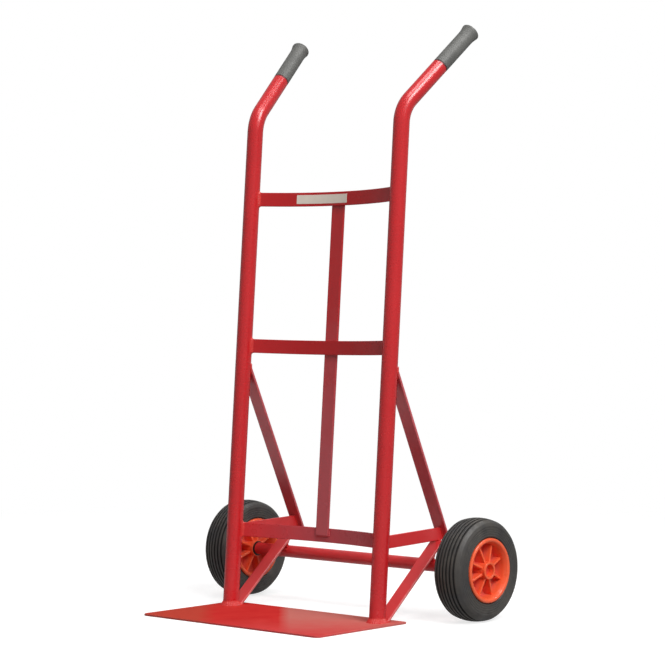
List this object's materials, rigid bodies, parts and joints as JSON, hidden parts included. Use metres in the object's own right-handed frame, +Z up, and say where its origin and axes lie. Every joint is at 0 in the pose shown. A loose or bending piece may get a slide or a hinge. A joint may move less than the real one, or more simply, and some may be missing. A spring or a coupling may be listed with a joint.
{
  "type": "sack truck",
  "caption": "Upright two-wheeled hand truck with a raked round-tube frame, bowed back bars, flat toe plate, braced axle and cranked handles with grips.",
  "frame": {"origin": "on the floor, on the underside of the toe plate, midway between the feet of the two stiles", "axes": "+X across the truck to the right-hand wheel as seen from the load side, +Y to the rear, +Z up"},
  "size_m": [0.685, 0.474, 1.1641],
  "materials": {
    "frame_paint": "glossy red powder coat",
    "zinc_steel": "dull zinc plate",
    "grip_vinyl": "satin grey vinyl",
    "tyre_rubber": "matt moulded rubber",
    "rim_plastic": "glossy moulded orange-red plastic",
    "bush_nylon": "natural nylon"
  },
  "bodies": {
    "frame": {"axle_shaft": "zinc_steel", "axle_tube": "frame_paint", "centre_strip": "frame_paint", "left_axle_hanger": "frame_paint", "left_grip": "grip_vinyl", "left_handle_insert": "zinc_steel", "left_inner_washer": "zinc_steel", "left_lower_brace": "frame_paint", "left_outer_washer": "zinc_steel", "left_retaining_ring": "zinc_steel", "left_side_member": "frame_paint", "left_stile": "frame_paint", "left_upper_brace": "frame_paint", "lower_crossbar": "frame_paint", "middle_crossbar": "frame_paint", "right_axle_hanger": "frame_paint", "right_grip": "grip_vinyl", "right_handle_insert": "zinc_steel", "right_inner_washer": "zinc_steel", "right_lower_brace": "frame_paint", "right_outer_washer": "zinc_steel", "right_retaining_ring": "zinc_steel", "right_side_member": "frame_paint", "right_stile": "frame_paint", "right_upper_brace": "frame_paint", "toe_plate": "frame_paint", "upper_crossbar": "frame_paint"},
    "left_wheel": {"left_tyre": "tyre_rubber", "left_rim": "rim_plastic", "left_hub_cap": "rim_plastic", "left_inner_bush": "bush_nylon", "left_outer_bush": "bush_nylon"},
    "right_wheel": {"right_tyre": "tyre_rubber", "right_rim": "rim_plastic", "right_hub_cap": "rim_plastic", "right_inner_bush": "bush_nylon", "right_outer_bush": "bush_nylon"}
  },
  "joints": [
    {"name": "left_wheel_spin", "type": "hinge", "parent": "frame", "child": "left_wheel", "pos_m": [-0.308, 0.163, 0.1], "axis": [1, 0, 0], "continuous": true},
    {"name": "right_wheel_spin", "type": "hinge", "parent": "frame", "child": "right_wheel", "pos_m": [0.308, 0.163, 0.1], "axis": [1, 0, 0], "continuous": true}
  ]
}
